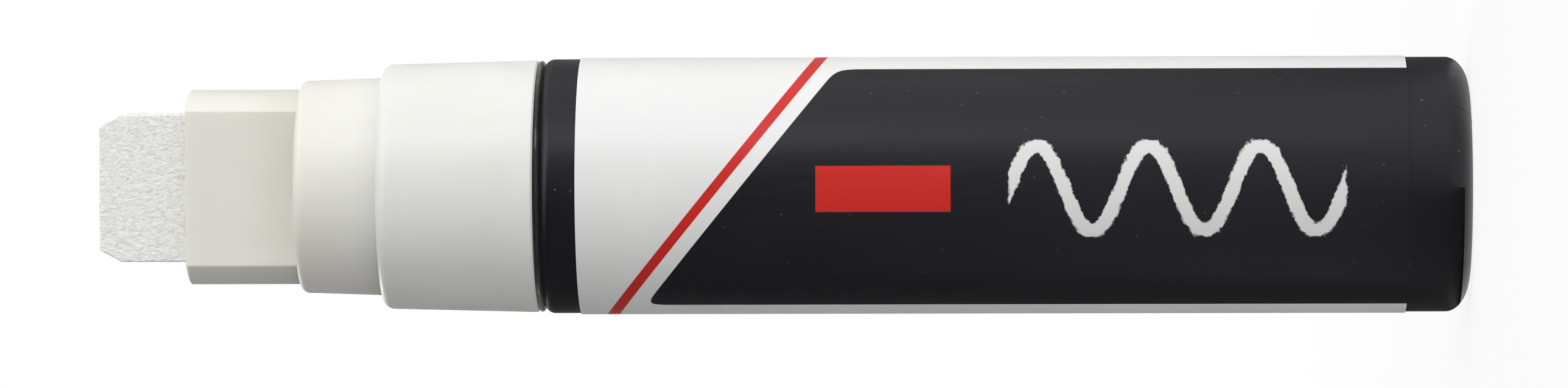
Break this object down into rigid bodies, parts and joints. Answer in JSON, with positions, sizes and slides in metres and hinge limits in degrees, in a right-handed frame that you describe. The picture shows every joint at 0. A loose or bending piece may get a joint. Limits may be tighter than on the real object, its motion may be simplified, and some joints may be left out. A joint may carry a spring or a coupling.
{
  "type": "liquid chalk marker",
  "caption": "Broad liquid chalk marker: rectangular felt nib in a stepped white front section, pump valve and mixing balls inside a black labelled barrel that stands on its base.",
  "frame": {"origin": "centre of the ring the marker stands on, at the rear end of the barrel", "axes": "+Z along the marker's axis from the base to the nib; the nib's broad flat sides face -Y and +Y, and its width runs along X"},
  "size_m": [0.027, 0.027, 0.1438],
  "materials": {
    "barrel_plastic": "satin black",
    "label_film": "semi-gloss printed film",
    "clear_plastic": "clear",
    "white_plastic": "satin off-white",
    "nib_felt": "dense bonded felt",
    "valve_plastic": "natural",
    "gasket_rubber": "matte",
    "spring_steel": "drawn wire",
    "ball_steel": "polished"
  },
  "bodies": {
    "shell": {"barrel": "barrel_plastic", "label_sleeve": "label_film", "shoulder_washer": "clear_plastic", "front_section": "white_plastic", "valve_housing": "valve_plastic", "spring_retainer": "valve_plastic", "valve_spring": "spring_steel"},
    "nib": {"nib": "nib_felt"},
    "valve": {"valve_stem": "valve_plastic", "nib_pusher": "valve_plastic", "valve_gasket": "gasket_rubber"},
    "ball_1": {"mixing_ball_1": "ball_steel"},
    "ball_2": {"mixing_ball_2": "ball_steel"}
  },
  "joints": [
    {"name": "nib_press", "type": "slide", "parent": "shell", "child": "nib", "axis": [0, 0, -1], "range_m": [0, 0.002], "stiffness_N_per_m": 900, "springref_m": -0.003},
    {"name": "valve_stroke", "type": "slide", "parent": "shell", "child": "valve", "axis": [0, 0, -1], "range_m": [0, 0.002], "deforming": ["valve_spring"]},
    {"name": "ball_1_travel", "type": "slide", "parent": "shell", "child": "ball_1", "axis": [0, 0, 1], "range_m": [0, 0.0798]},
    {"name": "ball_2_travel", "type": "slide", "parent": "shell", "child": "ball_2", "axis": [0, 0, 1], "range_m": [0, 0.0798]}
  ],
  "couplings": [
    {"joint": "valve_stroke", "follows": "nib_press", "ratio": 1}
  ]
}
